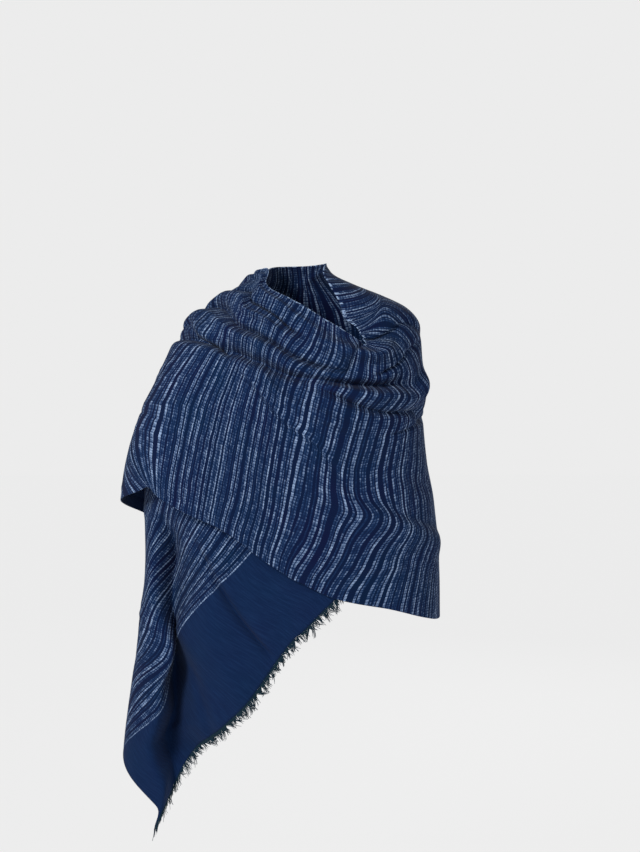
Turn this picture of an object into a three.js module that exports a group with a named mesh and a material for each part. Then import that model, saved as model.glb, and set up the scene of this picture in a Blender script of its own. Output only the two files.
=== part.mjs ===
// A handwoven striped stole, worn: one length of cloth, 700 mm by 1800 mm, wrapped round the shoulders.
// Its first end hangs as a pointed tail at the front right. From there the cloth goes outside the right
// arm, across the back, round the left arm and shoulder, across the chest, and over the right shoulder,
// where its last end hangs behind the arm. "Right" is the wearer's, at -X. The wearer faces -Y, +Z is up,
// and the origin is in the middle of the neck at the height of the shoulders. Sizes are in millimetres.
//
// cloth(along, across) gives any point of the cloth: along runs the length of the stole, from 0 at the
// tail's fringed end, and across runs from 0 at the neck's selvage to 1 at the hem's selvage.
import * as THREE from "three";

// Cut and wall
const STOLE_LENGTH = 1800;
const STOLE_WIDTH = 700;
const WALL = 1.8;
const SEAM_GAP = 0.3;
const STEPS_ACROSS = 32;

// Fringe of the two cut ends
const FRINGE_LENGTH = 20;
const FRINGE_STRANDS = 64;
const FRINGE_BACKING = 3;
const FRINGE_SWAY = 7;
const FRINGE_UNEVEN = 0.2; // share of a strand's length that varies

// Steps over which slopes are measured: degrees, millimetres up, millimetres along, share across
const TURN_STEP = 1;
const HEIGHT_STEP = 4;
const ALONG_STEP = 2;
const ACROSS_STEP = 0.004;

// The general figure inside the cloth: its half widths and depths at each height.
const LEVELS = [
  { height: 100, right: 50, left: 50, front: 52, back: 56 },
  { height: 55, right: 50, left: 38, front: 58, back: 62 },
  { height: 30, right: 54, left: 50, front: 66, back: 74 },
  { height: 10, right: 66, left: 90, front: 76, back: 84 },
  { height: -10, right: 92, left: 138, front: 86, back: 92 },
  { height: -30, right: 124, left: 178, front: 96, back: 98 },
  { height: -52, right: 154, left: 196, front: 104, back: 104 },
  { height: -77, right: 186, left: 199, front: 112, back: 108 },
  { height: -120, right: 209, left: 202, front: 124, back: 112 },
  { height: -160, right: 226, left: 210, front: 130, back: 113 },
  { height: -205, right: 243, left: 204, front: 134, back: 114 },
  { height: -290, right: 262, left: 212, front: 128, back: 116 },
  { height: -360, right: 266, left: 226, front: 122, back: 118 },
  { height: -470, right: 266, left: 236, front: 124, back: 124 },
  { height: -560, right: 274, left: 238, front: 126, back: 126 },
  { height: -680, right: 292, left: 240, front: 122, back: 126 },
  { height: -820, right: 312, left: 240, front: 112, back: 126 },
  { height: -960, right: 318, left: 240, front: 100, back: 126 },
];
const ROUNDNESS = 2.35;
const SIDE_BLEND = 3; // how sharply one side's half size gives way to the next

// Where each line across the cloth lies on the figure. A place is [turn, height, stand-off]: turn is in
// degrees about +Z from the front, 90 at the right arm, 180 at the back, 270 at the left arm and 360 at
// the front again, and the stand-off is how far the cloth lies from the figure.
const ACROSS = { neck: 0, collar: 0.14, upper: 0.3, middle: 0.55, lower: 0.8, hem: 1 };
const STATIONS = [
  { along: 0, neck: [-37, -396, 6], collar: [-21, -468, 6], upper: [-3, -550, 6], middle: [14, -683, 8],
    lower: [33, -789, 4], hem: [50, -926, 4] },
  { along: 40, neck: [-28, -369, 6], collar: [-14, -441, 6], upper: [1, -524, 6], middle: [20, -656, 8],
    lower: [40, -768, 4], hem: [49, -884, 4] },
  { along: 160, neck: [-7, -290, 6], collar: [4, -362, 6], upper: [17, -444, 6], middle: [44, -572, 6],
    lower: [51, -719, 6], hem: [87, -808, 4] },
  { along: 300, neck: [14, -205, 6], collar: [27, -275, 6], upper: [44, -362, 6], middle: [86, -536, 6],
    lower: [106, -655, 6], hem: [122, -745, 6] },
  { along: 450, neck: [29, -85, 6], collar: [51, -188, 6], upper: [75, -300, 6], middle: [100, -430, 6],
    lower: [121, -560, 6], hem: [140, -680, 6] },
  { along: 606, neck: [46, 0, 6], collar: [69, -60, 6], upper: [94, -135, 6], middle: [119, -292, 6],
    lower: [143, -444, 6], hem: [166, -604, 6] },
  { along: 740, neck: [104, 42, 6], collar: [116, -6, 6], upper: [130, -70, 6], middle: [151, -230, 6],
    lower: [174, -390, 6], hem: [194, -556, 6] },
  { along: 870, neck: [190, 48, 6], collar: [188, 12, 6], upper: [186, -70, 6], middle: [196, -240, 6],
    lower: [212, -400, 6], hem: [226, -548, 6] },
  { along: 940, neck: [284, 52, 8], collar: [226, 12, 7], upper: [224, -68, 6], middle: [231, -230, 6],
    lower: [240, -390, 6], hem: [247, -552, 6] },
  { along: 1000, neck: [326, 18, 8], collar: [247, 4, 8], upper: [250, -86, 8], middle: [256, -225, 8],
    lower: [262, -385, 8], hem: [266, -562, 8] },
  { along: 1065, neck: [340, -34, 9], collar: [268, -8, 9], upper: [267, -95, 10],
    middle: [273, -232, 10], lower: [279, -390, 8], hem: [281, -562, 8] },
  { along: 1130, neck: [335, -59, 12], collar: [308, -31, 11], upper: [279, -104, 12],
    middle: [290, -250, 12], lower: [297, -400, 10], hem: [299, -556, 10] },
  { along: 1200, neck: [333, -76, 16], collar: [309, -92, 14], upper: [300, -164, 14],
    middle: [309, -261, 14], lower: [317, -407, 12], hem: [318, -535, 10] },
  { along: 1260, neck: [332, -87, 20], collar: [326, -122, 18], upper: [328, -175, 18],
    middle: [338, -283, 16], lower: [343, -409, 14], hem: [346, -514, 12] },
  { along: 1345, neck: [348, -54, 28], collar: [351, -102, 27], upper: [358, -143, 28],
    middle: [362, -237, 24], lower: [365, -347, 22], hem: [367, -453, 20] },
  { along: 1443, neck: [364, -20, 30], collar: [369, -50, 31], upper: [373, -92, 32],
    middle: [378, -198, 30], lower: [381, -300, 28], hem: [384, -393, 26] },
  { along: 1540, neck: [391, 3, 30], collar: [390, -33, 31], upper: [389, -78, 32],
    middle: [395, -171, 34], lower: [398, -264, 36], hem: [401, -360, 36] },
  { along: 1600, neck: [398, 34, 28], collar: [400, -15, 29], upper: [403, -71, 30],
    middle: [412, -154, 34], lower: [413, -245, 40], hem: [411, -336, 46] },
  { along: 1640, neck: [412, 36, 26], collar: [416, -10, 26], upper: [421, -64, 26],
    middle: [440, -160, 28], lower: [449, -240, 36], hem: [416, -321, 48] },
  { along: 1680, neck: [434, 32, 26], collar: [439, -12, 26], upper: [446, -66, 26],
    middle: [462, -175, 26], lower: [462, -260, 36], hem: [424, -333, 48] },
  { along: 1740, neck: [464, 10, 24], collar: [464, -38, 26], upper: [464, -96, 28],
    middle: [466, -200, 32], lower: [468, -295, 42], hem: [472, -388, 48] },
  { along: 1800, neck: [488, -10, 22], collar: [485, -60, 24], upper: [482, -120, 26],
    middle: [480, -225, 30], lower: [482, -325, 36], hem: [486, -420, 42] },
];

// Folds of the cloth: a route of [along, across] points, a depth (a ridge is above 0, a trough below)
// and the half width over which it dies away.
const FOLDS = [
  // gathers on the right shoulder, and the cowl that they pull across the chest
  { route: [[1795, 0.05], [1670, 0.07], [1510, 0.05], [1400, 0.07], [1310, 0.06]], depth: 8, width: 13 },
  { route: [[1795, 0.15], [1700, 0.16], [1650, 0.14], [1510, 0.1], [1425, 0.12], [1340, 0.13]],
    depth: -12, width: 14 },
  { route: [[1795, 0.18], [1690, 0.18], [1500, 0.17], [1440, 0.19], [1350, 0.15]], depth: 9, width: 13 },
  { route: [[1795, 0.22], [1650, 0.21], [1555, 0.24], [1445, 0.26], [1380, 0.22], [1330, 0.2],
    [1312, 0.18], [1308, 0.14], [1295, 0.08]], depth: -13, width: 15 },
  { route: [[1785, 0.27], [1640, 0.27], [1500, 0.3], [1400, 0.3]], depth: 8, width: 11 },
  { route: [[1795, 0.33], [1600, 0.34], [1530, 0.35], [1465, 0.36], [1410, 0.34], [1340, 0.28],
    [1275, 0.23], [1230, 0.24], [1190, 0.3], [1140, 0.35]], depth: -14, width: 15 },
  { route: [[1785, 0.24], [1575, 0.34], [1500, 0.41]], depth: -9, width: 12 },
  { route: [[1520, 0.39], [1460, 0.43], [1375, 0.475], [1310, 0.54], [1262, 0.63]], depth: -4, width: 9 },
  { route: [[1440, 0.38], [1340, 0.42], [1260, 0.42]], depth: 7, width: 15 },
  { route: [[1380, 0.27], [1300, 0.28], [1230, 0.3], [1155, 0.39], [1080, 0.43]], depth: 9, width: 14 },
  // creases round the left shoulder and arm
  { route: [[1215, -0.03], [1175, 0.07], [1160, 0.13], [1120, 0.21], [1080, 0.27]], depth: -9, width: 12 },
  { route: [[1250, -0.06], [1300, 0.07], [1310, 0.13], [1305, 0.22]], depth: -7, width: 11 },
  { route: [[1110, 0.28], [1150, 0.23], [1190, 0.17], [1240, 0.16], [1280, 0.2]], depth: -8, width: 12 },
  { route: [[1360, 0.33], [1305, 0.32], [1250, 0.34], [1215, 0.36], [1130, 0.47], [1050, 0.52]],
    depth: -12, width: 14 },
  { route: [[1250, 0.44], [1180, 0.47], [1110, 0.5], [1030, 0.52]], depth: -6, width: 12 },
  { route: [[1300, 0.58], [1225, 0.72], [1110, 0.81], [1030, 0.84]], depth: 9, width: 26 },
  { route: [[1290, 0.5], [1225, 0.6], [1150, 0.66], [1070, 0.7]], depth: -6, width: 22 },
  // the tail: a deep fold between the hanging flap and the cloth over the arm, and a crease down the flap
  { route: [[285, 0.33], [250, 0.41], [200, 0.49], [150, 0.6], [100, 0.68]], depth: -20, width: 21 },
  { route: [[215, 0.49], [150, 0.64], [60, 0.77], [-110, 0.85]], depth: -32, width: 38 },
  { route: [[260, 0.24], [170, 0.4], [80, 0.52], [-60, 0.6]], depth: 8, width: 28 },
  { route: [[320, 0.6], [200, 0.76], [60, 0.93]], depth: 8, width: 22 },
  { route: [[270, 0.36], [185, 0.4], [85, 0.43], [-10, 0.46]], depth: -5, width: 13 },
  { route: [[480, 0.6], [380, 0.8], [300, 0.98]], depth: -10, width: 22 },
  // swags across the back
  { route: [[540, 0.12], [700, 0.3], [850, 0.4], [1000, 0.4]], depth: -12, width: 24 },
  { route: [[540, 0.22], [700, 0.42], [850, 0.54], [990, 0.58]], depth: 10, width: 24 },
  { route: [[560, 0.34], [700, 0.56], [860, 0.7]], depth: -10, width: 22 },
  // flutes above the hem of the back
  { route: [[560, 0.62], [520, 1.06]], depth: 12, width: 30 },
  { route: [[640, 0.66], [610, 1.06]], depth: -11, width: 30 },
  { route: [[720, 0.66], [700, 1.06]], depth: 12, width: 30 },
  { route: [[800, 0.68], [790, 1.06]], depth: -11, width: 30 },
  { route: [[870, 0.64], [872, 1.06]], depth: 11, width: 28 },
  { route: [[940, 0.66], [950, 1.06]], depth: -9, width: 26 },
  // the last end behind the right arm
  { route: [[1730, 0.1], [1725, 0.5], [1720, 1.04]], depth: -8, width: 15 },
  { route: [[1770, 0.1], [1768, 0.6], [1765, 1.04]], depth: 8, width: 15 },
];
const FOLD_END = 0.22; // share of a route over which a fold rises or dies out at each end

// Colours of the yarns, seen from far enough to mix
const STRIPED_NAVY = 0x33507c;
const PLAIN_NAVY = 0x16264e;
const FRINGE_NAVY = 0x1a2a52;

const PLACE_NAMES = Object.keys(ACROSS);

function clamp(value, low, high) {
  return Math.min(high, Math.max(low, value));
}

// A smooth curve through rows of numbers: keys[i] is where row i stands, and x is where it is read.
function smoothRow(keys, rows, x) {
  const last = keys.length - 1;
  let i = 0;
  while (i < last - 1 && x >= keys[i + 1]) i += 1;
  const slope = (k, column) => {
    const before = Math.max(0, k - 1);
    const after = Math.min(last, k + 1);
    return (rows[after][column] - rows[before][column]) / (keys[after] - keys[before]);
  };
  const span = keys[i + 1] - keys[i];
  const t = clamp((x - keys[i]) / span, 0, 1);
  const t2 = t * t;
  const t3 = t2 * t;
  return rows[i].map(
    (value, column) =>
      (2 * t3 - 3 * t2 + 1) * value +
      (t3 - 2 * t2 + t) * span * slope(i, column) +
      (3 * t2 - 2 * t3) * rows[i + 1][column] +
      (t3 - t2) * span * slope(i + 1, column),
  );
}

const LEVEL_KEYS = LEVELS.map((level) => -level.height);
const LEVEL_ROWS = LEVELS.map((level) => [level.right, level.left, level.front, level.back]);
const STATION_KEYS = STATIONS.map((station) => station.along);
const STATION_ROWS = STATIONS.map((station) => PLACE_NAMES.flatMap((name) => station[name]));
const STOP_KEYS = PLACE_NAMES.map((name) => ACROSS[name]);

// A point of the figure, a rounded oval at each height whose four sides blend into each other.
function figurePoint(turn, height) {
  const [right, left, front, back] = smoothRow(LEVEL_KEYS, LEVEL_ROWS, -height);
  const angle = THREE.MathUtils.degToRad(turn);
  const sine = Math.sin(angle);
  const cosine = Math.cos(angle);
  const rightShare = 0.5 + 0.5 * Math.tanh(SIDE_BLEND * sine);
  const frontShare = 0.5 + 0.5 * Math.tanh(SIDE_BLEND * cosine);
  const halfWidth = right * rightShare + left * (1 - rightShare);
  const halfDepth = front * frontShare + back * (1 - frontShare);
  const power = 2 / ROUNDNESS;
  return new THREE.Vector3(
    -halfWidth * Math.sign(sine) * Math.abs(sine) ** power,
    -halfDepth * Math.sign(cosine) * Math.abs(cosine) ** power,
    height,
  );
}

// The direction that points straight out of the figure.
function figureNormal(turn, height) {
  const round = figurePoint(turn + TURN_STEP, height).sub(figurePoint(turn - TURN_STEP, height));
  const up = figurePoint(turn, height + HEIGHT_STEP).sub(figurePoint(turn, height - HEIGHT_STEP));
  return up.cross(round).normalize();
}

// How far the folds move the cloth outward at a point.
function foldHeight(along, across) {
  const here = new THREE.Vector2(along, across * STOLE_WIDTH);
  let total = 0;
  for (const fold of FOLDS) {
    const points = fold.route.map(([a, c]) => new THREE.Vector2(a, c * STOLE_WIDTH));
    const lengths = points.slice(1).map((point, i) => point.distanceTo(points[i]));
    const whole = lengths.reduce((sum, length) => sum + length, 0);
    let nearest = Infinity;
    let reached = 0;
    let before = 0;
    lengths.forEach((length, i) => {
      const run = points[i + 1].clone().sub(points[i]);
      const share = clamp(here.clone().sub(points[i]).dot(run) / (length * length), 0, 1);
      const distance = points[i].clone().addScaledVector(run, share).distanceTo(here);
      if (distance < nearest) {
        nearest = distance;
        reached = (before + share * length) / whole;
      }
      before += length;
    });
    const taper = THREE.MathUtils.smoothstep(Math.min(reached, 1 - reached), 0, FOLD_END);
    total += fold.depth * taper * Math.exp(-((nearest / fold.width) ** 2));
  }
  return total;
}

// The middle of the wall. Past either cut end it runs straight on, for the fringe.
function cloth(along, across) {
  const inside = clamp(along, 0, STOLE_LENGTH);
  const row = smoothRow(STATION_KEYS, STATION_ROWS, inside);
  const places = PLACE_NAMES.map((name, i) => row.slice(3 * i, 3 * i + 3));
  const [turn, height, standOff] = smoothRow(STOP_KEYS, places, across);
  const out = standOff + foldHeight(inside, across);
  const point = figurePoint(turn, height).addScaledVector(figureNormal(turn, height), out);
  if (inside === along) return point;
  const inward = cloth(inside - 2 * ALONG_STEP * Math.sign(along - inside), across);
  const direction = point.clone().sub(inward).normalize();
  return point.addScaledVector(direction, Math.abs(along - inside));
}

// The direction straight out of the cloth's outer face.
function clothNormal(along, across) {
  const lengthways = cloth(along + ALONG_STEP, across).sub(cloth(along - ALONG_STEP, across));
  const top = clamp(across - ACROSS_STEP, 0, 1);
  const bottom = clamp(across + ACROSS_STEP, 0, 1);
  const crossways = cloth(along, bottom).sub(cloth(along, top));
  return crossways.cross(lengthways).normalize().negate();
}

// A closed wall over a grid of [outer, inner] pairs of points, rows[i][j], joined round its four edges.
// tips[j] is a point that the wall's first row is drawn out to between column j and the next, for a
// strand, or null where the row is plainly closed.
function closedWall(rows, tips = []) {
  const positions = [];
  const triangle = (a, b, c) => positions.push(...a.toArray(), ...b.toArray(), ...c.toArray());
  const quad = (a, b, c, d) => {
    triangle(a, b, c);
    triangle(a, c, d);
  };
  const lastRow = rows.length - 1;
  const lastColumn = rows[0].length - 1;
  for (let i = 0; i < lastRow; i += 1) {
    for (let j = 0; j < lastColumn; j += 1) {
      const corners = [rows[i][j], rows[i][j + 1], rows[i + 1][j + 1], rows[i + 1][j]];
      quad(corners[0][0], corners[3][0], corners[2][0], corners[1][0]);
      quad(corners[0][1], corners[1][1], corners[2][1], corners[3][1]);
    }
    quad(rows[i][0][0], rows[i][0][1], rows[i + 1][0][1], rows[i + 1][0][0]);
    const [near, far] = [rows[i][lastColumn], rows[i + 1][lastColumn]];
    quad(near[0], far[0], far[1], near[1]);
  }
  for (let j = 0; j < lastColumn; j += 1) {
    const [a, b] = [rows[lastRow][j], rows[lastRow][j + 1]];
    quad(a[0], a[1], b[1], b[0]);
    const ring = [rows[0][j][0], rows[0][j + 1][0], rows[0][j + 1][1], rows[0][j][1]];
    if (!tips[j]) {
      quad(...ring);
      continue;
    }
    ring.forEach((corner, k) => triangle(corner, ring[(k + 1) % 4], tips[j]));
  }
  const geometry = new THREE.BufferGeometry();
  geometry.setAttribute("position", new THREE.Float32BufferAttribute(positions, 3));
  geometry.computeVertexNormals();
  return geometry;
}

// The two faces of the wall at a point of the cloth.
function wallPair(along, across) {
  const middle = cloth(along, across);
  const normal = clothNormal(along, across);
  return [
    middle.clone().addScaledVector(normal, WALL / 2),
    middle.clone().addScaledVector(normal, -WALL / 2),
  ];
}

// The same two faces, on the straight line between the grid's columns to either side, so that what
// follows a stretch's end keeps clear of it.
function chordPair(along, across) {
  const column = Math.min(STEPS_ACROSS - 1, Math.floor(across * STEPS_ACROSS));
  const share = across * STEPS_ACROSS - column;
  const left = wallPair(along, column / STEPS_ACROSS);
  const right = wallPair(along, (column + 1) / STEPS_ACROSS);
  return left.map((point, face) => point.lerp(right[face], share));
}

function evenly(from, to, steps) {
  return Array.from({ length: steps + 1 }, (unused, i) => from + ((to - from) * i) / steps);
}

function clothMaterial(color) {
  return new THREE.MeshStandardMaterial({ color, roughness: 0.92, metalness: 0 });
}

// One stretch of the stole's length, as a wall of its own.
function stretch(name, from, to, stepLength, color) {
  const steps = Math.round((to - from) / stepLength);
  const rows = evenly(from, to, steps).map((along) =>
    evenly(0, 1, STEPS_ACROSS).map((across) => wallPair(along, across)),
  );
  const mesh = new THREE.Mesh(closedWall(rows), clothMaterial(color));
  mesh.name = name;
  return mesh;
}

// The yarn ends left loose at a cut end. end is where the cloth stops and outward is -1 or 1, the way
// the strands point along the stole. Their roots are one narrow strip, clear of the cloth's edge.
function fringe(name, end, outward) {
  const columns = 2 * FRINGE_STRANDS;
  const acrossAt = evenly(ACROSS_STEP, 1 - ACROSS_STEP, columns);
  const edgeOf = (offset) => end + outward * offset;
  const outerRow = acrossAt.map((across) => chordPair(edgeOf(SEAM_GAP + FRINGE_BACKING), across));
  const innerRow = acrossAt.map((across) => chordPair(edgeOf(SEAM_GAP), across));
  const tips = acrossAt.slice(1).map((next, j) => {
    if (j % 2) return null;
    const across = (acrossAt[j] + next) / 2;
    const sway = (FRINGE_SWAY * Math.sin(j * 2.3)) / STOLE_WIDTH;
    const reach = FRINGE_LENGTH * (1 - FRINGE_UNEVEN + FRINGE_UNEVEN * Math.sin(j * 1.7));
    const place = clamp(across + sway, 0, 1);
    return cloth(edgeOf(SEAM_GAP + FRINGE_BACKING + reach), place);
  });
  const flip = outward > 0;
  const turned = (row) => (flip ? row.map(([outer, inner]) => [inner, outer]) : row);
  const rows = [turned(outerRow), turned(innerRow)];
  const mesh = new THREE.Mesh(closedWall(rows, tips), clothMaterial(FRINGE_NAVY));
  mesh.name = name;
  return mesh;
}

// The stretches, from the tail to the thrown end: where each begins and ends, and its grid's step.
const STRETCHES = [
  { name: "front_tail", from: 0, to: 450, step: 14, color: PLAIN_NAVY },
  { name: "back_wrap", from: 450, to: 1000, step: 34, color: STRIPED_NAVY },
  { name: "left_shoulder_wrap", from: 1000, to: 1260, step: 16, color: STRIPED_NAVY },
  { name: "front_wrap", from: 1260, to: 1600, step: 14, color: STRIPED_NAVY },
  { name: "right_shoulder_end", from: 1600, to: STOLE_LENGTH, step: 15, color: STRIPED_NAVY },
];

const stole = new THREE.Group();
stole.name = "stole";
for (const { name, from, to, step, color } of STRETCHES) {
  const start = from === 0 ? 0 : from + SEAM_GAP / 2;
  const finish = to === STOLE_LENGTH ? to : to - SEAM_GAP / 2;
  stole.add(stretch(name, start, finish, step, color));
}
stole.add(fringe("front_fringe", 0, -1));
stole.add(fringe("back_fringe", STOLE_LENGTH, 1));

export default stole;
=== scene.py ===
"""A handwoven navy stole with pale dashed stripes, wrapped round the shoulders of a wearer who isn't shown.

The stole is one length of cloth. cloth(along, across) gives any point of it: along runs the length of the
stole, from 0 at the fringed end that hangs at the front right, and across runs from 0 at the neck's selvage
to 1 at the hem's selvage. The tables are in millimetres; everything that Blender gets is in metres.
"""
import math
import random

import bmesh
import bpy
import numpy as np
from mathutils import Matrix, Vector


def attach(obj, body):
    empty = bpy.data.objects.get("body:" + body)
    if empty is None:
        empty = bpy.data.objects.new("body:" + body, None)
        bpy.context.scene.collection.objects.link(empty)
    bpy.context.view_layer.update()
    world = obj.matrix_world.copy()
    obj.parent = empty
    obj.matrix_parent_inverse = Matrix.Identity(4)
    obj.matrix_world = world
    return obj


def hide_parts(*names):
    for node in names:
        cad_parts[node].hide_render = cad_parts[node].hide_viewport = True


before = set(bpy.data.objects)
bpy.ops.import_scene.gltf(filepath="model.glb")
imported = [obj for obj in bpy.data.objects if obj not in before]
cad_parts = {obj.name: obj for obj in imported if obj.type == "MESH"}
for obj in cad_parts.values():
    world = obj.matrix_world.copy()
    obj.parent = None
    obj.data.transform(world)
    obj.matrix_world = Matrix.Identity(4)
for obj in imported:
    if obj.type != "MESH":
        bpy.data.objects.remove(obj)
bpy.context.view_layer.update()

MM = 0.001

# ---------------------------------------------------------------- sizes of the stole, in millimetres
STOLE_LENGTH = 1800
STOLE_WIDTH = 700
TAIL_BAND = 160        # plain navy cloth at the tail's end
THROWN_BAND = 90       # and at the end thrown over the shoulder
LEFT_ARM = 1000        # where the cloth passes outside the left arm, from the tail's end
CLOTH_THICKNESS = 1.1  # a loose, slightly napped plain weave
YARN_RADIUS = 0.75     # of a loose end of the fringe, at its root
YARNS_PER_LOCK = 6
YARN_POINTS = 6
ALONG_STEP = 5         # spacing of the cloth's mesh along and across it
ACROSS_STEP = 3
WEFT_DATUM = 0.6       # share across from which the weft's rungs are counted
WEFT_EASE = 10         # mesh steps to each side along the cloth over which they follow it evenly
FRINGE_LOCKS = 150     # at each cut end
TAIL_FRINGE_LENGTH = 20
THROWN_FRINGE_LENGTH = 19

# The general figure that the cloth lies on: height, then half sizes to its right, left, front and back.
LEVELS = np.array([
    # height right left front back
    (100, 50, 50, 52, 56),
    (55, 50, 38, 58, 62),
    (30, 54, 50, 66, 74),
    (10, 66, 90, 76, 84),
    (-10, 92, 138, 86, 92),
    (-30, 124, 178, 96, 98),
    (-52, 154, 196, 104, 104),
    (-77, 186, 199, 112, 108),
    (-120, 209, 202, 124, 112),
    (-160, 226, 210, 130, 113),
    (-205, 243, 204, 134, 114),
    (-290, 262, 212, 128, 116),
    (-360, 266, 226, 122, 118),
    (-470, 266, 236, 124, 124),
    (-560, 274, 238, 126, 126),
    (-680, 292, 240, 122, 126),
    (-820, 312, 240, 112, 126),
    (-960, 318, 240, 100, 126),
], float)
ROUNDNESS = 2.35   # of the oval at each level, where 2 is an ellipse
SIDE_BLEND = 3.0   # how quickly the half sizes of one side give way to the other's

# Where each line across the cloth lies on the figure: turn in degrees about +Z from the front (90 at the
# right arm, 180 at the back, 270 at the left arm), height, and stand-off, at seven places across.
ACROSS = np.array([0, 0.14, 0.3, 0.55, 0.7, 0.8, 1.0])
STATIONS = [
    # along, neck selvage, collar, upper, middle, lower middle, lower, hem selvage
    (0, (-37, -396, 6), (-21, -468, 6), (-3, -550, 6), (14, -683, 8),
     (25, -747, 6), (33, -789, 4), (50, -926, 4)),
    (40, (-28, -369, 6), (-14, -441, 6), (1, -524, 6), (20, -656, 8),
     (32, -723, 6), (40, -768, 4), (49, -884, 4)),
    (160, (-7, -290, 6), (4, -362, 6), (17, -444, 6), (44, -572, 6),
     (48, -660, 6), (51, -719, 6), (87, -808, 4)),
    (225, (3, -249, 6), (15, -322, 6), (29, -406, 6), (50, -542, 6),
     (51, -618, 6), (76, -680, 6), (104, -780, 5)),
    (300, (14, -205, 6), (27, -275, 6), (44, -362, 6), (76, -508, 6),
     (95, -582, 6), (105, -634, 6), (122, -745, 6)),
    (450, (29, -85, 6), (51, -188, 6), (75, -300, 6), (100, -430, 6),
     (113, -508, 6), (121, -560, 6), (140, -680, 6)),
    (606, (46, 0, 6), (69, -60, 6), (94, -135, 6), (119, -292, 6),
     (133, -383, 6), (143, -444, 6), (166, -604, 6)),
    (740, (104, 42, 6), (116, -6, 6), (130, -70, 6), (151, -230, 6),
     (165, -326, 6), (174, -390, 6), (194, -556, 6)),
    (870, (190, 48, 6), (188, 12, 6), (186, -70, 6), (196, -240, 6),
     (206, -336, 6), (212, -400, 6), (226, -548, 6)),
    (940, (284, 52, 8), (226, 12, 7), (224, -68, 6), (231, -230, 6),
     (236, -326, 6), (240, -390, 6), (247, -552, 6)),
    (1000, (326, 18, 8), (247, 4, 8), (250, -86, 8), (256, -225, 8),
     (260, -321, 8), (262, -385, 8), (266, -562, 8)),
    (1065, (340, -34, 9), (268, -8, 9), (267, -95, 10), (273, -232, 10),
     (277, -327, 9), (279, -390, 8), (285, -562, 8)),
    (1130, (335, -59, 12), (308, -31, 11), (279, -104, 12), (290, -250, 12),
     (294, -340, 11), (297, -400, 10), (304, -550, 10)),
    (1200, (333, -76, 16), (309, -92, 14), (300, -164, 14), (309, -261, 14),
     (314, -349, 13), (317, -407, 12), (324, -531, 10)),
    (1260, (332, -87, 20), (326, -122, 18), (328, -175, 18), (338, -283, 16),
     (341, -359, 15), (343, -409, 14), (350, -507, 12)),
    (1345, (348, -54, 28), (351, -102, 27), (358, -143, 28), (362, -237, 24),
     (364, -303, 23), (365, -347, 22), (367, -453, 20)),
    (1443, (364, -20, 30), (369, -50, 31), (373, -92, 32), (378, -198, 30),
     (380, -259, 29), (381, -300, 28), (384, -393, 26)),
    (1540, (391, 3, 30), (390, -33, 31), (389, -78, 32), (395, -171, 34),
     (397, -227, 35), (398, -264, 36), (401, -360, 36)),
    (1600, (398, 34, 28), (400, -15, 29), (403, -71, 30), (412, -154, 34),
     (413, -209, 38), (413, -245, 40), (411, -336, 46)),
    (1640, (412, 36, 26), (416, -10, 26), (421, -64, 26), (440, -160, 28),
     (445, -208, 33), (449, -240, 36), (416, -321, 48)),
    (1680, (434, 32, 26), (439, -12, 26), (446, -66, 26), (462, -175, 26),
     (462, -226, 32), (462, -260, 36), (424, -333, 48)),
    (1740, (464, 10, 24), (464, -38, 26), (464, -96, 28), (466, -200, 32),
     (467, -257, 38), (468, -295, 42), (472, -393, 48)),
    (1800, (488, -10, 22), (485, -60, 24), (482, -120, 26), (480, -225, 30),
     (481, -287, 34), (482, -330, 36), (486, -440, 42)),
]
STATION_AT = np.array([row[0] for row in STATIONS], float)
STATION_ROWS = np.array([np.ravel(row[1:]) for row in STATIONS], float)

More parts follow.
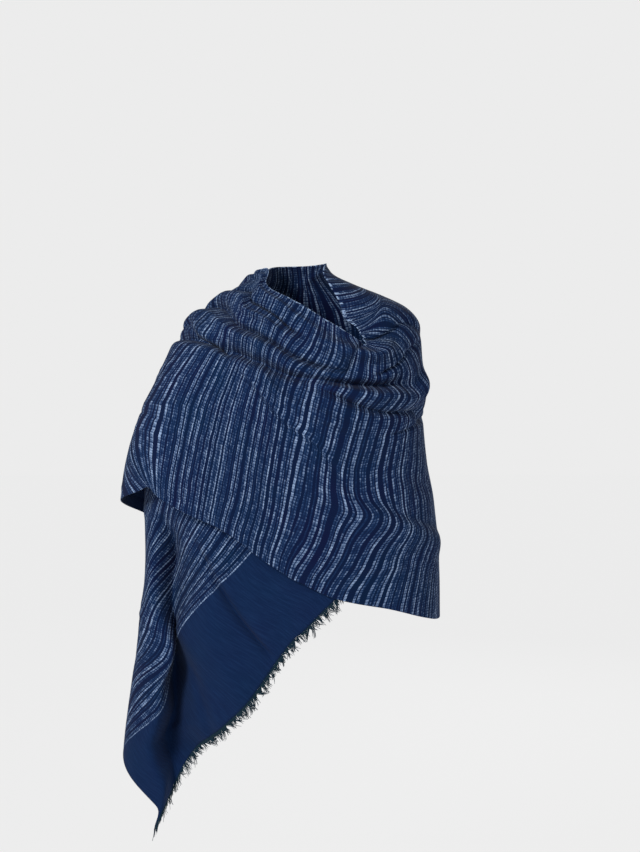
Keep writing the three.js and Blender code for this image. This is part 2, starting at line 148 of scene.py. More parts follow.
# Folds of the cloth: a route of (along, across) points, a depth (a ridge is above 0, a trough below), the
# half width over which it dies away, and how far the cloth slides sideways over the fold's own line.
FOLDS = [
    # gathers on the right shoulder, and the cowl that they pull across the chest
    ([(1795, 0.05), (1670, 0.07), (1510, 0.05), (1400, 0.07), (1310, 0.06)], 8, 13, 0),
    ([(1795, 0.15), (1700, 0.16), (1650, 0.14), (1510, 0.1), (1425, 0.12), (1340, 0.13)], -12, 12, 15),
    ([(1795, 0.18), (1690, 0.18), (1500, 0.17), (1440, 0.19), (1350, 0.15)], 9, 13, 0),
    ([(1795, 0.22), (1650, 0.21), (1555, 0.24), (1445, 0.26), (1380, 0.22), (1330, 0.2), (1312, 0.18),
     (1308, 0.14), (1295, 0.08)], -15, 14, 9),
    ([(1785, 0.27), (1640, 0.27), (1500, 0.3), (1400, 0.3)], 8, 11, 0),
    ([(1795, 0.33), (1600, 0.34), (1530, 0.35), (1465, 0.36), (1410, 0.34), (1340, 0.28), (1275, 0.23),
     (1230, 0.23), (1190, 0.29), (1140, 0.34)], -24, 17, 7),
    ([(1785, 0.24), (1575, 0.34), (1500, 0.41)], -9, 10, 11),
    ([(1520, 0.39), (1460, 0.43), (1375, 0.475), (1310, 0.54), (1262, 0.63)], -4, 7, 4),
    ([(1440, 0.38), (1340, 0.42), (1260, 0.42)], 7, 15, 0),
    ([(1400, 0.27), (1300, 0.28), (1230, 0.285), (1160, 0.36), (1110, 0.4)], 10, 16, 0),
    ([(1400, 0.13), (1330, 0.1), (1280, 0.08), (1230, 0.08), (1190, 0.12)], 20, 26, 0),
    # creases round the left shoulder and arm
    ([(1215, -0.03), (1175, 0.07), (1160, 0.13), (1120, 0.21), (1080, 0.27)], -9, 10, 11),
    ([(1250, -0.06), (1300, 0.07), (1310, 0.13), (1305, 0.22)], -7, 9, 7),
    ([(1110, 0.28), (1150, 0.23), (1190, 0.17), (1240, 0.16), (1280, 0.2)], -8, 10, 11),
    ([(1360, 0.33), (1305, 0.32), (1250, 0.34), (1215, 0.36), (1130, 0.47), (1050, 0.52)], -14, 13, 8),
    ([(1250, 0.44), (1180, 0.47), (1110, 0.5), (1030, 0.52)], -6, 10, 8),
    ([(1300, 0.56), (1254, 0.665), (1205, 0.745), (1110, 0.8), (1040, 0.83)], -4, 9, 0),
    ([(1295, 0.6), (1238, 0.74), (1190, 0.8), (1110, 0.84), (1030, 0.87)], 10, 22, 0),
    ([(1290, 0.5), (1225, 0.6), (1150, 0.66), (1070, 0.7)], -6, 22, 0),
    # the tail: a deep fold between the hanging flap and the cloth over the arm, and a crease down the flap
    ([(172, 0.57), (125, 0.64), (92, 0.7), (58, 0.75), (10, 0.79), (-90, 0.87)], -34, 50, 0),
    ([(120, 0.58), (80, 0.63), (40, 0.67), (-5, 0.72), (-60, 0.78)], -7, 13, 0),
    ([(260, 0.24), (170, 0.4), (80, 0.52), (-60, 0.6)], 8, 28, 0),
    ([(320, 0.6), (200, 0.76), (60, 0.93)], 4, 26, 0),
    ([(270, 0.335), (180, 0.378), (85, 0.408), (-15, 0.432)], -11, 9, 5),
    ([(480, 0.6), (380, 0.8), (300, 0.98)], -10, 22, 0),
    # swags across the back
    ([(540, 0.12), (700, 0.3), (850, 0.4), (1000, 0.4)], -12, 24, 0),
    ([(540, 0.22), (700, 0.42), (850, 0.54), (990, 0.58)], 10, 24, 0),
    ([(560, 0.34), (700, 0.56), (860, 0.7)], -10, 22, 0),
    # flutes above the hem of the back
    ([(560, 0.62), (520, 1.06)], 12, 30, 0),
    ([(640, 0.66), (610, 1.06)], -11, 30, 0),
    ([(720, 0.66), (700, 1.06)], 12, 30, 0),
    ([(800, 0.68), (790, 1.06)], -11, 30, 0),
    ([(870, 0.64), (872, 1.06)], 11, 28, 0),
    ([(940, 0.66), (950, 1.06)], -9, 26, 0),
    # the thrown end behind the right arm
    ([(1730, 0.1), (1725, 0.5), (1720, 1.04)], -8, 15, 0),
    ([(1770, 0.1), (1768, 0.6), (1765, 1.04)], 8, 15, 0),
]
# Deep folds with one steep wall: a route, a depth, and the half widths of the steep and the gentle wall.
DEEP_FOLDS = [
    ([(370, 0.32), (305, 0.41), (255, 0.5), (205, 0.6), (164, 0.67), (146, 0.725), (122, 0.785), (88, 0.84),
      (28, 0.88), (-80, 0.94)], -60, 22, 56),
]
# Where the stripes are drawn aside: a route, how far along the cloth they move, how far below the route they
# move most, and the half width of that.
SWAYS = [
    # below the crease that runs down to the left arm
    ([(1275, 0.62), (1240, 0.68), (1205, 0.735), (1110, 0.79), (1000, 0.82)], -14, 27, 30),
    # along the hem of the chest panel
    ([(1500, 1.0), (1400, 1.0), (1250, 1.0), (1100, 1.0), (1000, 1.0)], 13, 0, 75),
]
TAIL_HANGS_FROM = 340   # short of this the cloth hangs free, and its folds move it straight forward or back
TAIL_EASE = 120         # over this length it turns to that
FORWARD = np.array([0.0, -1.0, 0.0])
FOLD_END = 0.22         # share of a fold's line over which it rises or dies out at each end
LIP_PLACE = 0.9         # where the cloth that slides over a fold stands, in half widths to its upper side
LIP_RISE = 0.35         # how far it rises, as a share of its slide
LIP_REACH = 4           # half widths past which nothing slides
NORMAL_TURN = 1         # steps in degrees and millimetres over which the figure's normal is measured
NORMAL_RISE = 4
END_STEP = 4            # millimetres back from a cut end over which the cloth's direction there is measured


def small_creases(count, seed):
    """Faint short creases all over the cloth, most of them near to its length."""
    rng = random.Random(seed)
    creases = []
    for _ in range(count):
        length = rng.uniform(50, 150)
        slant = rng.gauss(0, 0.45)
        start = rng.uniform(0, STOLE_LENGTH - length)
        across = rng.uniform(0.03, 0.97)
        bend = rng.uniform(-0.02, 0.02)
        rise = length * math.tan(slant) / STOLE_WIDTH
        route = [(start, across),
                 (start + length / 2, across + rise / 2 + bend),
                 (start + length, across + rise)]
        creases.append((route, rng.choice((-1, 1)) * rng.uniform(0.6, 1.9), rng.uniform(6, 13), 0))
    return creases


SMALL_CREASES = small_creases(count=110, seed=11)


# ---------------------------------------------------------------- the shape of the cloth
def smooth_rows(keys, rows, x):
    """A smooth curve through rows of numbers, read at each x: keys[i] is where row i stands."""
    x = np.asarray(x, float)
    slopes = np.empty_like(rows)
    slopes[1:-1] = (rows[2:] - rows[:-2]) / (keys[2:] - keys[:-2])[:, None]
    slopes[0] = (rows[1] - rows[0]) / (keys[1] - keys[0])
    slopes[-1] = (rows[-1] - rows[-2]) / (keys[-1] - keys[-2])
    i = np.clip(np.searchsorted(keys, x, "right") - 1, 0, len(keys) - 2)
    span = (keys[i + 1] - keys[i])[..., None]
    t = np.clip((x[..., None] - keys[i][..., None]) / span, 0, 1)
    return hermite(t, span, rows[i], rows[i + 1], slopes[i], slopes[i + 1])


def hermite(t, span, start, end, start_slope, end_slope):
    """The cubic from start to end with the given slopes, at t from 0 to 1 of the span."""
    t2, t3 = t * t, t * t * t
    return ((2 * t3 - 3 * t2 + 1) * start + (t3 - 2 * t2 + t) * span * start_slope
            + (3 * t2 - 2 * t3) * end + (t3 - t2) * span * end_slope)


def figure_point(turn, height):
    """Points of the figure: a rounded oval at each height."""
    right, left, front, back = np.moveaxis(smooth_rows(-LEVELS[:, 0], LEVELS[:, 1:], -height), -1, 0)
    sine, cosine = np.sin(np.radians(turn)), np.cos(np.radians(turn))
    right_share = 0.5 + 0.5 * np.tanh(SIDE_BLEND * sine)
    front_share = 0.5 + 0.5 * np.tanh(SIDE_BLEND * cosine)
    half_width = right * right_share + left * (1 - right_share)
    half_depth = front * front_share + back * (1 - front_share)
    power = 2 / ROUNDNESS
    return np.stack([-half_width * np.sign(sine) * np.abs(sine) ** power,
                     -half_depth * np.sign(cosine) * np.abs(cosine) ** power,
                     np.broadcast_to(height, sine.shape)], -1)


def unit(vectors):
    return vectors / np.linalg.norm(vectors, axis=-1, keepdims=True)


def figure_normal(turn, height):
    """Directions straight out of the figure."""
    round_step = figure_point(turn + NORMAL_TURN, height) - figure_point(turn - NORMAL_TURN, height)
    up_step = figure_point(turn, height + NORMAL_RISE) - figure_point(turn, height - NORMAL_RISE)
    return unit(np.cross(up_step, round_step))


def fold_moves(along, across):
    """How far the folds move the cloth outward, and how far they slide it along and across itself."""
    here = np.stack([along, across * STOLE_WIDTH], -1)
    outward = np.zeros(along.shape)
    slide = np.zeros(here.shape)
    for route, depth, width, overlap in FOLDS + SMALL_CREASES:
        points = np.array(route, float) * (1, STOLE_WIDTH)
        distance, side, reached = fold_place(here, points)
        taper = eased_ends(reached)
        outward += depth * np.exp(-(distance / width) ** 2) * taper
        if overlap:
            over = points[-1] - points[0]
            across_fold = np.array([-over[1], over[0]]) / np.linalg.norm(over)
            if across_fold[1] < 0:
                across_fold = -across_fold
                side = -side
            near = distance < LIP_REACH * width
            lip = np.exp(-((side + LIP_PLACE * width) / width) ** 2) * near * taper
            outward += LIP_RISE * overlap * lip
            slide += overlap * lip[..., None] * across_fold
    for route, depth, steep, gentle in DEEP_FOLDS:
        distance, side, reached = fold_place(here, np.array(route, float) * (1, STOLE_WIDTH))
        outward += depth * np.exp(-(distance / np.where(side > 0, gentle, steep)) ** 2) * eased_ends(reached)
    for route, sway, below, width in SWAYS:
        distance, side, reached = fold_place(here, np.array(route, float) * (1, STOLE_WIDTH))
        slide[..., 0] += sway * np.exp(-((-side - below) / width) ** 2) * eased_ends(reached)
    return outward, slide[..., 0], slide[..., 1] / STOLE_WIDTH


def eased_ends(reached):
    """How much of a fold's depth is there, by the share of its line reached."""
    share = np.clip(np.minimum(reached, 1 - reached) / FOLD_END, 0, 1)
    return share * share * (3 - 2 * share)


def fold_place(here, points):
    """Where points of the cloth stand by a fold's line: how far off, to which side, and how far along it."""
    runs = np.diff(points, axis=0)
    lengths = np.linalg.norm(runs, axis=1)
    distance = np.full(here.shape[:-1], np.inf)
    side = np.zeros(here.shape[:-1])
    reached = np.zeros(here.shape[:-1])
    before = 0.0
    for start, run, length in zip(points, runs, lengths):
        share = np.clip(((here - start) @ run) / length ** 2, 0, 1)
        away = here - start - share[..., None] * run
        off = np.linalg.norm(away, axis=-1)
        closer = off < distance
        distance = np.where(closer, off, distance)
        reached = np.where(closer, (before + share * length) / lengths.sum(), reached)
        turned = away @ np.array([-run[1], run[0]])
        side = np.where(closer, np.copysign(off, turned), side)
        before += length
    return distance, side, reached


def cloth(along, across):
    """Points on the middle of the cloth, in millimetres. Past either cut end it runs straight on."""
    along, across = np.broadcast_arrays(np.asarray(along, float), np.asarray(across, float))
    inside = np.clip(along, 0, STOLE_LENGTH)
    outward, slide_along, slide_across = fold_moves(inside, across)
    rows = smooth_rows(STATION_AT, STATION_ROWS, inside + slide_along)
    places = rows.reshape(along.shape + (len(ACROSS), 3))
    turn, height, stand_off = np.moveaxis(across_row(places, across + slide_across), -1, 0)
    normal = figure_normal(turn, height)
    hanging = np.clip((TAIL_HANGS_FROM - inside) / TAIL_EASE, 0, 1)[..., None]
    fold_way = unit(normal * (1 - hanging) + FORWARD * hanging)
    points = figure_point(turn, height) + normal * stand_off[..., None] + fold_way * outward[..., None]
    beyond = along - inside
    if np.any(beyond):
        inward = cloth(inside - END_STEP * np.sign(beyond), across)
        direction = unit(points - inward + 1e-9)
        points = points + direction * np.abs(beyond)[..., None]
    return points


def across_row(places, across):
    """Reads rows of places at a share across, on a smooth curve through them."""
    slopes = np.empty_like(places)
    slopes[..., 1:-1, :] = (places[..., 2:, :] - places[..., :-2, :]) / (ACROSS[2:] - ACROSS[:-2])[:, None]
    slopes[..., 0, :] = (places[..., 1, :] - places[..., 0, :]) / (ACROSS[1] - ACROSS[0])
    slopes[..., -1, :] = (places[..., -1, :] - places[..., -2, :]) / (ACROSS[-1] - ACROSS[-2])
    i = np.clip(np.searchsorted(ACROSS, across, "right") - 1, 0, len(ACROSS) - 2)
    span = (ACROSS[i + 1] - ACROSS[i])[..., None]
    t = np.clip((across[..., None] - ACROSS[i][..., None]) / span, 0, 1)

    def pick(table, index):
        return np.take_along_axis(table, index[..., None, None], -2)[..., 0, :]

    return hermite(t, span, pick(places, i), pick(places, i + 1), pick(slopes, i), pick(slopes, i + 1))


# ---------------------------------------------------------------- pieces
def new_object(name, mesh):
    piece = bpy.data.objects.new(name, mesh)
    bpy.context.scene.collection.objects.link(piece)
    return piece


def laid_out():
    """The whole cloth as a grid of points, and how far across it each of them really lies, both in metres."""
    along = np.linspace(0, STOLE_LENGTH, round(STOLE_LENGTH / ALONG_STEP) + 1)
    across = np.linspace(0, 1, round(STOLE_WIDTH / ACROSS_STEP) + 1)
    points = cloth(*np.meshgrid(along, across, indexing="ij")) * MM
    gaps = np.linalg.norm(np.diff(points, axis=1), axis=2)
    widths = np.concatenate([np.zeros((len(along), 1)), np.cumsum(gaps, axis=1)], axis=1)
    widths -= widths[:, round(WEFT_DATUM * (len(across) - 1))][:, None]
    padded = np.pad(widths, ((WEFT_EASE, WEFT_EASE), (0, 0)), "edge")
    sums = np.cumsum(np.pad(padded, ((1, 0), (0, 0))), axis=0)
    return points, (sums[2 * WEFT_EASE + 1:] - sums[:-2 * WEFT_EASE - 1]) / (2 * WEFT_EASE + 1)


def cloth_stretch(name, start, end, points, widths):
    """A stretch of the stole's length: a woven grid laid along the cloth, with its own flat size as UV."""
    first, last = start // ALONG_STEP, end // ALONG_STEP
    columns, rows = last - first, points.shape[1] - 1
    grid = bmesh.new()
    bmesh.ops.create_grid(grid, x_segments=columns, y_segments=rows, size=0.5)
    flat = np.array([vert.co for vert in grid.verts])
    column = first + np.rint((flat[:, 0] + 0.5) * columns).astype(int)
    row = np.rint((flat[:, 1] + 0.5) * rows).astype(int)
    for vert, point in zip(grid.verts, points[column, row]):
        vert.co = point
    weave = grid.loops.layers.uv.new("weave")
    flat_place = np.stack([column * ALONG_STEP * MM, widths[column, row]], -1)
    from_selvage = grid.verts.layers.float.new("from_selvage")
    for vert, place in zip(grid.verts, row):
        vert[from_selvage] = place * ACROSS_STEP
    for face in grid.faces:
        face.smooth = True
        for loop in face.loops:
            loop[weave].uv = flat_place[loop.vert.index]
    mesh = bpy.data.meshes.new(name)
    grid.to_mesh(mesh)
    grid.free()
    piece = new_object(name, mesh)
    wall = piece.modifiers.new("thickness", "SOLIDIFY")
    wall.thickness = CLOTH_THICKNESS * MM
    wall.offset = 0
    wall.use_even_offset = False
    return piece


def strands(name, paths):
    """Loose yarn ends as one mesh: a thin tapered tube along each path."""
    curve = bpy.data.curves.new(name, "CURVE")
    curve.dimensions = "3D"
    curve.bevel_depth = YARN_RADIUS * MM
    curve.bevel_resolution = 0
    curve.use_fill_caps = True
    for path in paths:
        spline = curve.splines.new("POLY")
        spline.points.add(len(path) - 1)
        for i, point in enumerate(path):
            spline.points[i].co = (*(point * MM), 1)
            spline.points[i].radius = 1 - 0.6 * i / (len(path) - 1)
    drawn = new_object(name + "_curve", curve)
    mesh = bpy.data.meshes.new_from_object(drawn.evaluated_get(bpy.context.evaluated_depsgraph_get()))
    bpy.data.objects.remove(drawn)
    mesh.name = name
    return new_object(name, mesh)


LOCK_GATHER = 0.6      # how far the yarns of a lock close on its middle, as a share of their distance
LOCK_CLOSES = 1.6      # and how soon, as a rate along the yarn
CORNER_LEAN = 9        # how quickly the yarns begin to lean, by their share across in from the hem's corner
FRINGE_SAG = 0.05      # how far a yarn's tip sinks, as a share of its length
OUT_STEP = 10          # millimetres past the cut end over which the fringe's direction is measured
SELVAGE_STEP = 0.012   # share across over which the direction of the cut edge is measured


def fringe(name, end, outward, locks, length, seed):
    """The fringe of a cut end: warp ends that lie together in short, uneven, slightly curled locks."""
    rng = random.Random(seed)
    paths = []
    for lock in range(locks):
        middle = (lock + rng.uniform(0.25, 0.75)) / locks
        spread = rng.uniform(0.7, 1.1) / locks
        lean = rng.gauss(0.2, 0.35) * min(1, CORNER_LEAN * (1 - middle))
        lift = rng.gauss(0.12, 0.14)
        reach = length * rng.uniform(0.5, 1.1)
        curl = rng.uniform(-0.3, 0.3)
        for end_number in range(YARNS_PER_LOCK):
            root = min(1, max(0, middle + spread * (end_number / (YARNS_PER_LOCK - 1) - 0.5) * 2))
            paths.append((root, middle, lean + rng.gauss(0, 0.16), lift + rng.gauss(0, 0.1),
                          reach * rng.uniform(0.6, 1.05), curl))
    root, middle, lean, lift, reach, curl = np.array(paths).T
    edge = cloth(end, root)
    lock_middle = cloth(end, middle)
    out_of = unit(cloth(end + outward * OUT_STEP, root) - edge)
    aside = cloth(end, np.minimum(root + SELVAGE_STEP, 1))
    before = cloth(end, np.maximum(root - SELVAGE_STEP, 0))
    side_of = unit(aside - before)
    face_of = -outward * unit(np.cross(out_of, side_of))
    steps = []
    for step in range(YARN_POINTS):
        s = step / (YARN_POINTS - 1)
        bend = reach * s * s
        gather = LOCK_GATHER * min(1.0, LOCK_CLOSES * s)
        point = (edge + (lock_middle - edge) * gather + out_of * (reach * s)[:, None]
                 + side_of * (lean * bend + curl * reach * math.sin(math.pi * s) * 0.5)[:, None]
                 + face_of * (lift * bend)[:, None])
        point[:, 2] -= FRINGE_SAG * bend
        steps.append(point)
    return strands(name, np.stack(steps, 1))


# ---------------------------------------------------------------- materials
def linear(hex_colour):
    """An sRGB hex colour as the linear RGBA that Blender's shaders take."""
    values = [int(hex_colour[i:i + 2], 16) / 255 for i in (1, 3, 5)]
    return [v / 12.92 if v <= 0.04045 else ((v + 0.055) / 1.055) ** 2.4 for v in values] + [1]


def add(tree, kind, inputs=(), **settings):
    """Adds a node with its settings. inputs maps a socket's name or number to a value or another socket."""
    node = tree.nodes.new(kind)
    for key, value in settings.items():
        setattr(node, key, value)
    for key, value in dict(inputs).items():
        if isinstance(value, bpy.types.NodeSocket):
            tree.links.new(value, node.inputs[key])
        else:
            node.inputs[key].default_value = value
    return node


def math_node(tree, operation, a, b=0.0, c=0.0):
    return add(tree, "ShaderNodeMath", {0: a, 1: b, 2: c}, operation=operation).outputs[0]


def mix_colour(tree, factor, a, b):
    return add(tree, "ShaderNodeMix", {0: factor, 6: a, 7: b}, data_type="RGBA").outputs[2]


def remap(tree, value, low, high, to_low=0.0, to_high=1.0):
    """Carries low..high evenly over to to_low..to_high, and holds it there outside."""
    return add(tree, "ShaderNodeMapRange", {0: value, 1: low, 2: high, 3: to_low, 4: to_high}).outputs[0]


def scaled(tree, place, factors):
    return add(tree, "ShaderNodeVectorMath", {0: place, 1: factors}, operation="MULTIPLY").outputs[0]


def noise(tree, place, scale, detail=2.0, roughness=0.5):
    return add(tree, "ShaderNodeTexNoise", {
        "Vector": place, "Scale": scale, "Detail": detail, "Roughness": roughness}).outputs[0]


def random_by_number(tree, number):
    """A value from 0 to 1 that each number has for itself."""
    return add(tree, "ShaderNodeTexWhiteNoise", {"W": number}, noise_dimensions="1D").outputs[0]


def new_tree(owner):
    """The node tree of a material or a world, emptied."""
    owner.use_nodes = True
    owner.node_tree.nodes.clear()
    return owner.node_tree


# Two runs of stripes that follow each other along the stole, over and over. Each stripe has its width in mm
# and how pale its yarns are.
STRIPE_RUNS = [
    [(2.3, 1.0), (1.5, 0), (1.7, 0.5), (1.1, 0.1), (1.7, 0.6), (4.6, 0), (1.6, 0.6), (1.2, 0.12),
     (1.8, 0.42), (1.2, 0.12), (1.6, 0.62), (3.6, 0), (1.8, 0.28), (2.6, 0), (2.1, 0.85), (1.0, 0.3),
     (2.0, 0.75), (2.4, 0), (1.8, 0.5), (4.2, 0), (2.6, 1.0), (1.5, 0), (1.7, 0.55), (1.2, 0.15),
     (1.7, 0.45), (7.6, 0), (1.7, 0.5), (1.4, 0.1), (2.0, 0.85), (3.8, 0)],
    [(2.0, 0.8), (1.0, 0.25), (2.1, 0.85), (2.9, 0), (1.7, 0.28), (3.1, 0), (1.6, 0.5), (1.2, 0.15),
     (1.7, 0.36), (1.2, 0.12), (1.6, 0.5), (3.0, 0), (1.7, 0.6), (1.2, 0.15), (1.8, 0.45), (1.2, 0.1),
     (2.6, 1.0), (4.8, 0), (2.7, 0.95), (1.6, 0), (1.8, 0.55), (1.8, 0), (1.7, 0.45), (1.3, 0.15),
     (2.6, 0.7), (5.6, 0), (1.9, 0.6), (1.4, 0), (2.2, 0.8), (6.4, 0)],
]
RUNG_PITCH = 4.9      # mm from one pale rung to the next along a stripe
RUNG_COLUMN = 2.9     # mm along the stole over which a rung keeps the same strength
COLUMN_STRIDE = 7.3   # sets the numbers of one column's rungs apart from the next one's
LOOP_DEPTH = 4.5      # mm that the longest turned loops of weft reach in from the neck's selvage
LOOP_PITCH = 3.1      # mm from one loop to the next
THREAD_PITCH = 1.6    # mm from one ridge of the weft to the next
RELIEF = 0.0004       # m that the threads stand out
# How quickly the slubs and the streaks of the warp change along and across the stole, per mm.
SLUBS = (0.34, 0.05, 1)
WARP_STREAKS = (0.03, 0.4, 1)
PURPLE_NAVY = "#0b1438"
BAND_NAVY = "#10274c"
TEAL_NAVY = "#051d3c"
MID_BLUE = "#203c66"
PALE_BLUE = "#8da3c4"
YARN_NAVY = "#1a3342"
ROOM_GREY = "#ececec"


def stripe_chart(tree, place, runs):
    """Reads the runs of stripes at a place in mm: gives how pale the yarns there are."""
    lengths = [sum(stripe[0] for stripe in run) for run in runs]
    turn = math_node(tree, "FRACT", math_node(tree, "DIVIDE", place, sum(lengths)))
    turn = math_node(tree, "MULTIPLY", turn, sum(lengths))
    colour = None
    start = 0.0
    for run, length in zip(runs, lengths):
        share = math_node(tree, "DIVIDE", math_node(tree, "SUBTRACT", turn, start), length)
        ramp = add(tree, "ShaderNodeValToRGB", {0: share})
        ramp.color_ramp.interpolation = "CONSTANT"
        while len(ramp.color_ramp.elements) < len(run):
            ramp.color_ramp.elements.new(0.5)
        reached = 0.0
        for element, (width, pale) in zip(ramp.color_ramp.elements, run):
            element.position = reached / length
            element.color = (pale, pale, pale, 1)
            reached += width
        past = math_node(tree, "GREATER_THAN", turn, start)
        colour = ramp.outputs[0] if colour is None else mix_colour(tree, past, colour, ramp.outputs[0])
        start += length
    return add(tree, "ShaderNodeSeparateColor", {0: colour}).outputs[0]


def handwoven_stripes():
    """Plain-weave cotton in navy with pale dashed stripes, matt, with a little sheen from its loose nap."""
    material = bpy.data.materials.new("handwoven_striped_cotton")
    tree = new_tree(material)
    uv = add(tree, "ShaderNodeUVMap", uv_map="weave").outputs[0]
    in_mm = scaled(tree, uv, (1000, 1000, 0))
    parts = add(tree, "ShaderNodeSeparateXYZ", {0: in_mm})
    along = math_node(tree, "MULTIPLY_ADD", noise(tree, in_mm, 0.04), 2.0, parts.outputs[0])
    across = parts.outputs[1]

    from_band = math_node(tree, "SUBTRACT", along, TAIL_BAND)
    past_tail = math_node(tree, "GREATER_THAN", from_band, 0.0)
    before_end = math_node(tree, "LESS_THAN", along, STOLE_LENGTH - THROWN_BAND)
    striped = math_node(tree, "MULTIPLY", past_tail, before_end)
    pale = math_node(tree, "MULTIPLY", stripe_chart(tree, from_band, STRIPE_RUNS), striped)

    # the navy warp crosses each pale stripe and breaks it into rungs that run on from one stripe to the next
    column = math_node(tree, "FLOOR", math_node(tree, "DIVIDE", along, RUNG_COLUMN))
    shift = noise(tree, in_mm, 0.05, detail=1.0)
    rung_place = math_node(tree, "MULTIPLY_ADD", shift, 1.6, math_node(tree, "DIVIDE", across, RUNG_PITCH))
    rung_wave = math_node(tree, "SINE", math_node(tree, "MULTIPLY", rung_place, 2 * math.pi))
    rung_number = math_node(tree, "MULTIPLY_ADD", column, COLUMN_STRIDE, math_node(tree, "FLOOR", rung_place))
    uneven = math_node(tree, "MULTIPLY_ADD", random_by_number(tree, rung_number), 0.7, 0.66)
    rung = math_node(tree, "MULTIPLY", remap(tree, rung_wave, -0.8, 0.8, 0.46, 0.8), uneven)

    # slubs: stretches of a yarn that are thicker and paler, or nearly hidden
    slub = noise(tree, scaled(tree, in_mm, SLUBS), 1.0, detail=3.0, roughness=0.65)
    slub = remap(tree, slub, 0.34, 0.66, 0.5, 1.4)
    pale = math_node(tree, "MULTIPLY", math_node(tree, "MULTIPLY", pale, rung), slub)
    pale = math_node(tree, "MINIMUM", pale, 1.0)

    # where the pale weft turns back at the neck's selvage it stands out in small uneven loops
    from_selvage = add(tree, "ShaderNodeAttribute", attribute_name="from_selvage").outputs["Fac"]
    loop = random_by_number(tree, math_node(tree, "FLOOR", math_node(tree, "DIVIDE", along, LOOP_PITCH)))
    loop = math_node(tree, "GREATER_THAN", loop, remap(tree, from_selvage, 0.0, LOOP_DEPTH, 0.45, 1.0))
    loop = math_node(tree, "MULTIPLY", loop, striped)
    pale = math_node(tree, "MAXIMUM", pale, math_node(tree, "MULTIPLY", loop, 0.95))

    # the navy drifts from purplish to greenish in its dye, with fine paler streaks of warp in the plain bands
    streaks = remap(tree, noise(tree, scaled(tree, in_mm, WARP_STREAKS), 1.0), 0.42, 0.75, 0.0, 0.3)
    dye = remap(tree, noise(tree, in_mm, 0.012), 0.3, 0.7)
    navy = mix_colour(tree, dye, linear(PURPLE_NAVY), linear(TEAL_NAVY))
    plain = mix_colour(tree, streaks, mix_colour(tree, 0.4, linear(BAND_NAVY), navy), linear(MID_BLUE))
    navy = mix_colour(tree, striped, plain, navy)
    to_mid = math_node(tree, "MINIMUM", math_node(tree, "MULTIPLY", pale, 2.2), 1.0)
    blue = mix_colour(tree, to_mid, navy, linear(MID_BLUE))
    colour = mix_colour(tree, remap(tree, pale, 0.3, 1.0), blue, linear(PALE_BLUE))

    thread = math_node(tree, "SINE", math_node(tree, "MULTIPLY", along, 2 * math.pi / THREAD_PITCH))
    pale_relief = math_node(tree, "MULTIPLY_ADD", pale, 1.5, rung_wave)
    relief = math_node(tree, "MULTIPLY_ADD", thread, 0.4, pale_relief)
    bump = add(tree, "ShaderNodeBump", {"Strength": 0.35, "Distance": RELIEF, "Height": relief})
    shader = add(tree, "ShaderNodeBsdfPrincipled", {
        "Base Color": colour, "Roughness": 0.95, "Sheen Weight": 0.03, "Sheen Roughness": 0.5,
        "Specular IOR Level": 0.08, "Normal": bump.outputs[0]})
    add(tree, "ShaderNodeOutputMaterial", {0: shader.outputs[0]})
    return material


def loose_yarn(name, hex_colour):
    """Loose cotton yarn ends: matt and slightly fuzzy, uneven in tone from one to the next."""
    material = bpy.data.materials.new(name)
    tree = new_tree(material)
    place = add(tree, "ShaderNodeTexCoord").outputs["Object"]
    dark = [value * 0.6 for value in linear(hex_colour)[:3]] + [1]
    colour = mix_colour(tree, noise(tree, place, 260.0), dark, linear(hex_colour))
    shader = add(tree, "ShaderNodeBsdfPrincipled", {
        "Base Color": colour, "Roughness": 0.95, "Sheen Weight": 0.03, "Specular IOR Level": 0.1})
    add(tree, "ShaderNodeOutputMaterial", {0: shader.outputs[0]})
    return material


def studio_paper():
    """Matt studio paper that glows evenly, so that it looks as pale as the room around it."""
    material = bpy.data.materials.new("matt_studio_paper")
    material.use_nodes = True
    shader = material.node_tree.nodes["Principled BSDF"]
    shader.inputs["Base Color"].default_value = linear("#1c1c1c")
    shader.inputs["Roughness"].default_value = 0.95
    shader.inputs["Emission Color"].default_value = linear(ROOM_GREY)
    shader.inputs["Emission Strength"].default_value = 0.975
    return material


# ---------------------------------------------------------------- the stole
stripes = handwoven_stripes()
yarn = loose_yarn("navy_yarn_ends", YARN_NAVY)

points, widths = laid_out()
back_half = cloth_stretch("stole_tail_and_back", 0, LEFT_ARM, points, widths)
front_half = cloth_stretch("stole_front_and_shoulders", LEFT_ARM, STOLE_LENGTH, points, widths)
for piece, nodes in ((back_half, ("front_tail", "back_wrap")),
                     (front_half, ("left_shoulder_wrap", "front_wrap", "right_shoulder_end"))):
    piece.data.materials.append(stripes)
    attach(piece, "root")
    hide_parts(*nodes)

tail_fringe = fringe("tail_fringe", 0, -1, FRINGE_LOCKS, TAIL_FRINGE_LENGTH, seed=3)
end_fringe = fringe("thrown_end_fringe", STOLE_LENGTH, 1, FRINGE_LOCKS, THROWN_FRINGE_LENGTH, seed=5)
for piece, node in ((tail_fringe, "front_fringe"), (end_fringe, "back_fringe")):
    piece.data.materials.append(yarn)
    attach(piece, "root")
    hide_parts(node)


# ---------------------------------------------------------------- stage, light and camera
def pale_floor(height, half_size):
    """A wide flat floor under the stole."""
    plane = bmesh.new()
    bmesh.ops.create_grid(plane, x_segments=1, y_segments=1, size=half_size)
    bmesh.ops.translate(plane, verts=plane.verts, vec=(0, 0, height))
    mesh = bpy.data.meshes.new("floor")
    plane.to_mesh(mesh)
    plane.free()
    floor = new_object("floor", mesh)
    floor.data.materials.append(studio_paper())


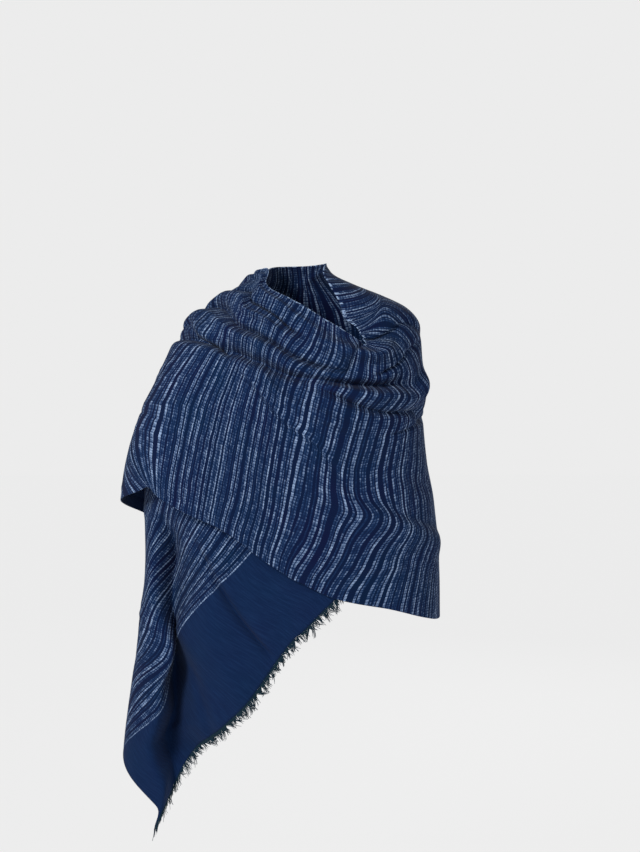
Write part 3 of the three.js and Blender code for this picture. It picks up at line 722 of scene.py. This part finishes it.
def soft_room(seen_hex, light_strength):
    """Pale surroundings on all sides, that light the stole more weakly than they look."""
    world = bpy.data.worlds.new("soft_room")
    tree = new_tree(world)
    seen = add(tree, "ShaderNodeBackground", {0: linear(seen_hex), 1: 1.0}).outputs[0]
    light = add(tree, "ShaderNodeBackground", {0: (1, 1, 1, 1), 1: light_strength}).outputs[0]
    by_eye = add(tree, "ShaderNodeLightPath").outputs["Is Camera Ray"]
    surroundings = add(tree, "ShaderNodeMixShader", {0: by_eye, 1: light, 2: seen}).outputs[0]
    add(tree, "ShaderNodeOutputWorld", {0: surroundings})
    bpy.context.scene.world = world


def soft_light(name, place, aim, size, power):
    lamp = bpy.data.lights.new(name, "AREA")
    lamp.shape = "RECTANGLE"
    lamp.size, lamp.size_y = size
    lamp.energy = power
    light = bpy.data.objects.new(name, lamp)
    light.location = place
    light.rotation_euler = (Vector(aim) - Vector(place)).to_track_quat("-Z", "Y").to_euler()
    bpy.context.scene.collection.objects.link(light)


def studio_camera():
    """A camera 2.6 m away and 5 degrees up, framed on the middle of the picture."""
    distance, lift = 2.6, math.radians(5)
    picture_height = 852 * 0.00175   # rows of the picture, and metres to each of them at the stole
    sensor = 36   # millimetres over the picture's longer side
    aim = Vector((0.035, 0, -0.229))
    camera = bpy.data.objects.new("camera", bpy.data.cameras.new("camera"))
    camera.data.sensor_width = sensor
    camera.data.lens = sensor * distance / picture_height
    camera.location = aim + Vector((0, -distance * math.cos(lift), distance * math.sin(lift)))
    camera.rotation_euler = (aim - camera.location).to_track_quat("-Z", "Y").to_euler()
    bpy.context.scene.collection.objects.link(camera)
    bpy.context.scene.camera = camera


pale_floor(height=-1.4, half_size=9)
soft_light("key", (-1.85, -2.5, 1.35), (0, 0, -0.35), (1.0, 1.0), 90)
soft_light("fill", (2.4, -2.0, 0.4), (0, 0, -0.4), (1.8, 1.8), 16)
soft_light("back", (0.9, 3.0, 0.3), (0, 0, -0.4), (2.0, 2.0), 34)
soft_room(seen_hex=ROOM_GREY, light_strength=0.22)
bpy.context.scene.view_settings.view_transform = "Standard"
studio_camera()
